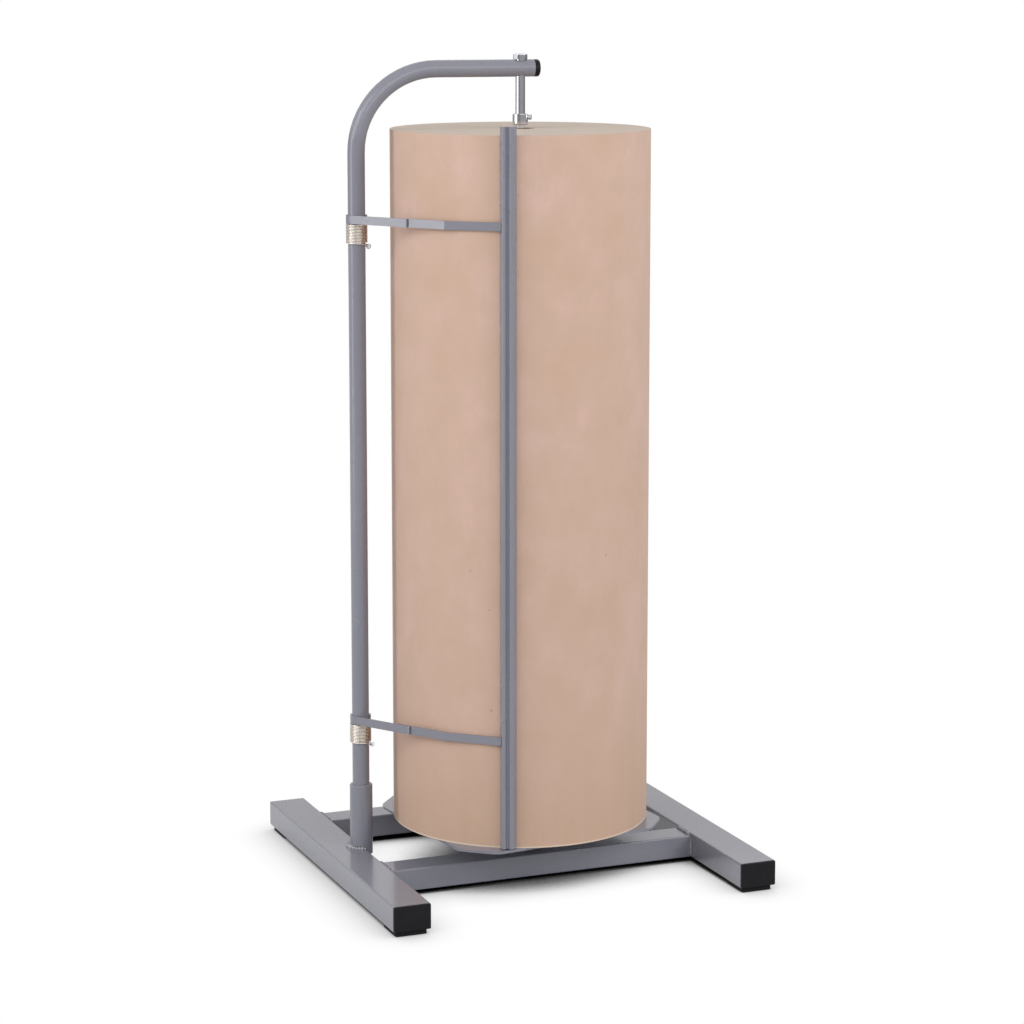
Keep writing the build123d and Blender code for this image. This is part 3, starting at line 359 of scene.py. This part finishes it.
def spring(label):
    """Close-wound torsion spring, from a leg hooked through the anchor's ring up to the eye."""
    node_low, node_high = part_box(label + "_spring")
    anchor_top, eye_bottom = node_low.z, node_high.z
    outer_radius = node_high.x - POST_AXIS.x
    coil_radius = outer_radius - WIRE / 2
    ring_place = outer_radius + RING_PAST_COIL
    low = anchor_top + WIRE / 2 + 0.0004
    high = eye_bottom - WIRE / 2 - 0.0001
    leg_turn, leg_past, leg_steps, steps_per_turn = 1.3, 0.2, 24, 40
    points = []
    for step in range(leg_steps):
        share = step / leg_steps
        eased = min(1.0, max(0.0, (share - 0.2) / 0.8))
        eased = eased * eased * (3 - 2 * eased)
        radius = ring_place + (coil_radius - ring_place) * eased
        height = anchor_top - RING_DROP + (low - anchor_top + RING_DROP) * eased
        points.append(round_post(radius, ANCHOR_ANGLE + leg_past - leg_turn * share, height))
    start = ANCHOR_ANGLE + leg_past - leg_turn
    count = int(COIL_TURNS * steps_per_turn)
    for step in range(count + 1):
        share = step / count
        turn = start - 2 * math.pi * COIL_TURNS * share
        points.append(round_post(coil_radius, turn, low + (high - low) * share))
    piece = tube(label + "_spring_coil", points, [WIRE / 2] * len(points), 10, materials["spring_steel"])
    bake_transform(piece)
    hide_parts(label + "_spring")


def weld(name, points, size, seed, body="frame", rough=0.3):
    """Rippled weld bead along points, thinner at its ends."""
    chance = random.Random(seed)
    dense = []
    for first, second in zip(points, points[1:]):
        steps = max(2, int((second - first).length / BEAD_STEP))
        dense += [first.lerp(second, k / steps) for k in range(steps)]
    dense.append(points[-1])
    radii = []
    for index in range(len(dense)):
        ripple = rough * math.sin(index * 1.33) + rough * (chance.random() - 0.5)
        ends = min(1.0, 0.45 + 0.12 * min(index, len(dense) - 1 - index))
        radii.append(size * ends * (1 + ripple))
    piece = tube(name, dense, radii, 10, weld_paint)
    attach(piece, body)
    return piece


spring("upper")
spring("lower")

# Bead round the socket's foot: over the rail's top, then down its inner side on both flanks
edge = math.acos((LEFT_INNER_FACE - POST_AXIS.x) / SOCKET_RADIUS)
sweep = 2 * math.pi - 2 * edge
foot = [round_post(SOCKET_RADIUS, edge + sweep * step / 32, RAIL_TOP) for step in range(33)]
weld("socket_weld", foot, SOCKET_BEAD, 5)
for label, sign in (("front", -1), ("rear", 1)):
    line = [round_post(SOCKET_RADIUS, sign * edge, RAIL_TOP - drop) for drop in FLANK_DROPS]
    weld("socket_side_weld_" + label, line, SOCKET_BEAD * SIDE_SHARE, 7 + sign)

# Beads where the cross rails meet the base rails
for label in ("front", "rear"):
    low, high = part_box(label + "_cross_rail")
    for side_name, x in (("left", LEFT_INNER_FACE), ("right", RIGHT_INNER_FACE)):
        line = [Vector((x, low.y + BEAD_END, high.z)), Vector((x, high.y - BEAD_END, high.z))]
        weld(f"cross_weld_{label}_{side_name}", line, CROSS_BEAD, 20)
        for face_name, y in (("fore", low.y), ("aft", high.y)):
            line = [Vector((x, y, high.z - BEAD_END)), Vector((x, y, low.z + BEAD_END))]
            weld(f"cross_weld_{label}_{side_name}_{face_name}", line, CROSS_BEAD * SIDE_SHARE, 31)

# Beads across the lap of each arm, and where its tip meets the bar
for label in ("upper", "lower"):
    low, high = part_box(label + "_arm")
    lap = Vector((high.x, low.y, 0)) + LAP_PLACE
    line = [lap + Vector((0, 0, low.z - LAP_OVER)), lap + Vector((0, 0, high.z + LAP_OVER))]
    bead = weld(label + "_lap_weld", line, LAP_BEAD, 41, "swing", rough=0.08)
    for vertex in bead.data.vertices:
        vertex.co -= ARM_FACING * ARM_FACING.dot(vertex.co - lap) * (1 - LAP_FLATNESS)
    low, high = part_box(label + "_arm_tip")
    meet = Vector((high.x, low.y, 0)) + BAR_PLACE
    line = [meet + Vector((0, 0, low.z)), meet + Vector((0, 0, high.z))]
    weld(label + "_bar_weld", line, LAP_BEAD * SIDE_SHARE, 43, "swing")


# Stage, light and camera


def view_rays(n):
    """One for rays that show a surface to the camera, straight or by way of metal or glass."""
    path = n.add("ShaderNodeLightPath").outputs
    shiny = n.math("MAXIMUM", path["Is Glossy Ray"], path["Is Transmission Ray"])
    return n.math("MAXIMUM", path["Is Camera Ray"], shiny)


def two_way(n, output, other, seen):
    """Sends one shader to the rays of sight and the other to the rest."""
    mixer = n.add("ShaderNodeMixShader")
    n.link(view_rays(n), mixer.inputs["Fac"])
    n.link(other, mixer.inputs[1])
    n.link(seen, mixer.inputs[2])
    n.link(mixer.outputs[0], output.inputs["Surface"])


# White glowing floor with the object's shadow painted on it from ambient occlusion: dark under the plate, and
# close round the rails
stage_material = bpy.data.materials.new("pale_floor")
stage_material.use_nodes = True
n = Nodes(stage_material.node_tree)
n.tree.nodes.clear()
diffuse = n.add("ShaderNodeBsdfDiffuse")
diffuse.inputs["Color"].default_value = (0.48, 0.48, 0.48, 1)
close = n.add("ShaderNodeAmbientOcclusion", samples=24)
wide = n.add("ShaderNodeAmbientOcclusion", samples=24)
close.inputs["Distance"].default_value = 0.09
wide.inputs["Distance"].default_value = 0.3
# Painted shadow: ambient occlusion darkens the floor's white glow under the plate and beside the rails.
under = n.spread(wide.outputs["AO"], 0.0, 1.0, 0.08, 0.38, smooth=True)
painted_rail_shadow = n.spread(close.outputs["AO"], 0.22, 1.0, 0.0, 0.95)
white = n.add("ShaderNodeEmission")
n.link(n.math("MULTIPLY", painted_rail_shadow, under), white.inputs["Strength"])
two_way(n, n.add("ShaderNodeOutputMaterial"), diffuse.outputs[0], white.outputs[0])
floor_mesh = bpy.data.meshes.new("floor")
FLOOR_REACH = 9.0
corners = [(x * FLOOR_REACH, y * FLOOR_REACH, 0) for x, y in ((-1, -1), (1, -1), (1, 1), (-1, 1))]
floor_mesh.from_pydata(corners, [], [(0, 1, 2, 3)])
floor_mesh.materials.append(stage_material)
floor = bpy.data.objects.new("floor", floor_mesh)
bpy.context.collection.objects.link(floor)

# The world is white to the eye, soft as a light, and grey low down to bright metal, with two darker flags
world = bpy.data.worlds.new("studio")
bpy.context.scene.world = world
world.use_nodes = True
n = Nodes(world.node_tree)
n.tree.nodes.clear()
ray = n.add("ShaderNodeTexCoord").outputs["Generated"]


def toward(direction, low, high):
    """Rises from 0 to 1 as a ray turns towards a direction."""
    dot = n.add("ShaderNodeVectorMath", operation="DOT_PRODUCT")
    n.link(ray, dot.inputs[0])
    dot.inputs[1].default_value = direction
    return n.spread(dot.outputs["Value"], 0.0, 1.0, low, high, smooth=True)


soft = n.add("ShaderNodeBackground")
soft.inputs["Color"].default_value = (0.97, 0.985, 1.0, 1)
HORIZON_LIGHT, ZENITH_LIGHT = 0.70, 0.34
n.link(n.spread(n.parts(ray)[2], HORIZON_LIGHT, ZENITH_LIGHT, 0.0, 1.0), soft.inputs["Strength"])
above = toward((0, 0, 1), 0.04, 0.22)
left = toward((-0.995, 0.1, 0), 0.80, 0.93)
flag = toward((-0.707, -0.707, 0), 0.985, 0.998)
far_side = toward((0.8, 0.6, 0), 0.3, 0.8)
camera_ray = n.add("ShaderNodeLightPath").outputs["Is Camera Ray"]
lit = n.math("MAXIMUM", n.math("MAXIMUM", above, left), camera_ray)
LOW_GREY, FLAG_DARK, FAR_DARK = 0.33, 0.2, 0.16
dim = n.math("MAXIMUM", n.spread(flag, 0.0, FLAG_DARK, 0.0, 1.0), n.spread(far_side, 0.0, FAR_DARK, 0.0, 1.0))
low_grey = n.math("SUBTRACT", LOW_GREY, dim)
bright = n.add("ShaderNodeBackground")
bright.inputs["Color"].default_value = (1, 1, 1, 1)
n.link(n.math("MAXIMUM", lit, low_grey), bright.inputs["Strength"])
two_way(n, n.add("ShaderNodeOutputWorld"), soft.outputs[0], bright.outputs[0])


def lamp(name, place, target, size, power):
    data = bpy.data.lights.new(name, "AREA")
    data.shape = "RECTANGLE"
    data.size, data.size_y = size
    data.energy = power
    light = bpy.data.objects.new(name, data)
    light.location = place
    light.rotation_euler = (Vector(target) - Vector(place)).to_track_quat("-Z", "Y").to_euler()
    bpy.context.collection.objects.link(light)


lamp("left_panel", (-3.0, 0.03, 1.5), (0, 0, 1.3), (0.5, 2.8), 24)
lamp("left_softbox", (-2.9, -1.2, 2.6), (-0.1, 0, 0.7), (2.0, 2.0), 29)
lamp("front_softbox", (-0.5, -3.9, 2.2), (0, 0, 0.7), (2.2, 1.4), 22)
lamp("right_softbox", (2.5, -3.0, 2.4), (0, 0, 0.7), (2.8, 1.8), 66)

# Fitted to the photograph, with less shift than the closest fit has, so that other views hold it all
AZIMUTH = math.radians(-22.005)
PITCH = math.radians(8.683)
FOCAL_PIXELS = 2961.5
CENTRE_ROW = 420.0
camera_data = bpy.data.cameras.new("camera")
camera_data.sensor_fit = "HORIZONTAL"
camera_data.sensor_width = 36.0
camera_data.lens = FOCAL_PIXELS / 1024 * 36.0
camera_data.shift_y = (CENTRE_ROW - 512) / 1024
camera_data.clip_end = 60.0
camera = bpy.data.objects.new("camera", camera_data)
camera.location = (-1.7492, -4.3190, 1.4336)
level = Vector((-math.sin(AZIMUTH), math.cos(AZIMUTH), 0))
looking = level * math.cos(PITCH) - Vector((0, 0, math.sin(PITCH)))
camera.rotation_euler = looking.to_track_quat("-Z", "Y").to_euler()
bpy.context.collection.objects.link(camera)
bpy.context.scene.camera = camera
bpy.context.scene.view_settings.view_transform = "Standard"
